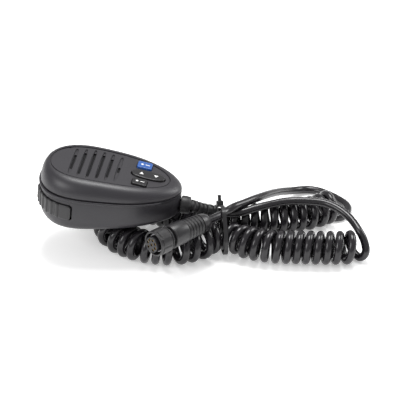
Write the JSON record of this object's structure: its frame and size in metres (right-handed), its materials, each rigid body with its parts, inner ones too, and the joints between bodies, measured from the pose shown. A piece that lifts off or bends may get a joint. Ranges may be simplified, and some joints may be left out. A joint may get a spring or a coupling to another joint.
{
  "type": "hand microphone",
  "caption": "Hand microphone: rounded split body with push-to-talk bar, keys, rocker and grille slots, hanger button behind, and a tied curly cord ending in a round plug with a screw ring.",
  "frame": {"origin": "middle of the box round the microphone's body, which is its shells, keys, bar and hanger button, without the cord and plug", "axes": "+X from the head end to the cord end, +Y to the side away from the push-to-talk bar, +Z out of the face; the body is stored dipping 4 degrees towards its cord end, as it lies on its cord"},
  "size_m": [0.2375, 0.1526, 0.0667],
  "materials": {
    "body_plastic": "fine moulded texture, satin",
    "dark_plastic": "satin moulded",
    "blue_key": "satin moulded",
    "rubber": "matte",
    "cord": "glossy jacket",
    "steel": "zinc plated",
    "board": "solder mask",
    "paper": "pressed paper",
    "nylon": "moulded nylon",
    "plug_plastic": "satin moulded",
    "plug_metal": "dark nickel plate",
    "gold": "gold plated"
  },
  "bodies": {
    "case": {"front_shell": "body_plastic", "rear_shell": "body_plastic", "ptt_switch": "dark_plastic", "shell_gasket": "rubber", "ptt_membrane": "rubber", "keypad_sheet": "rubber", "speaker_seal": "rubber", "mic_boot": "rubber", "strain_relief": "rubber", "plug_seal": "rubber", "coil_front": "cord", "coil_bend": "cord", "coil_back": "cord", "cord_mic_tail": "cord", "cord_plug_tail": "cord", "inner_cable": "cord", "ptt_pivot_pin": "steel", "hanger_stud": "steel", "stud_screw": "steel", "case_screw_1": "steel", "case_screw_2": "steel", "case_screw_3": "steel", "case_screw_4": "steel", "clamp_screw_1": "steel", "clamp_screw_2": "steel", "speaker_frame": "steel", "mic_capsule": "steel", "main_board": "board", "speaker_cone": "paper", "cord_header": "nylon", "cord_clamp": "nylon", "cable_tie": "nylon", "speaker_magnet": "nylon", "plug_insert": "nylon", "plug_gland_cap": "plug_plastic", "plug_grip": "plug_plastic", "plug_shell": "plug_metal", "plug_contact_1": "gold", "plug_contact_2": "gold", "plug_contact_3": "gold", "plug_contact_4": "gold", "plug_contact_5": "gold", "plug_contact_6": "gold", "plug_contact_7": "gold", "plug_contact_8": "gold"},
    "ptt": {"ptt_bar": "dark_plastic"},
    "far_key": {"key_far": "blue_key"},
    "near_key": {"key_near": "dark_plastic"},
    "rocker": {"rocker_key": "dark_plastic"},
    "nut_ring": {"nut_thrust_ring": "steel"},
    "nut": {"coupling_nut": "plug_plastic"}
  },
  "joints": [
    {"name": "ptt_press", "type": "hinge", "parent": "case", "child": "ptt", "pos_m": [-0.02743, -0.027, 0.00113], "axis": [-0.0698, 0, -0.9976], "range_deg": [0, 3.5], "stiffness_Nm_per_rad": 1.2},
    {"name": "far_key_press", "type": "slide", "parent": "case", "child": "far_key", "axis": [-0.1874, 0, -0.9823], "range_m": [0, 0.0008], "stiffness_N_per_m": 1000},
    {"name": "near_key_press", "type": "slide", "parent": "case", "child": "near_key", "axis": [-0.1874, 0, -0.9823], "range_m": [0, 0.0008], "stiffness_N_per_m": 1000},
    {"name": "rocker_tilt", "type": "hinge", "parent": "case", "child": "rocker", "pos_m": [0.02702, 0, 0.01572], "axis": [0, 1, 0], "range_deg": [-3.5, 3.5], "stiffness_Nm_per_rad": 0.2},
    {"name": "nut_slide", "type": "slide", "parent": "case", "child": "nut_ring", "axis": [0.6195, 0.7844, -0.0297], "range_m": [0, 0.0024]},
    {"name": "nut_spin", "type": "hinge", "parent": "nut_ring", "child": "nut", "pos_m": [0.04352, -0.0471, -0.00732], "axis": [-0.6195, -0.7844, 0.0297], "continuous": true}
  ]
}
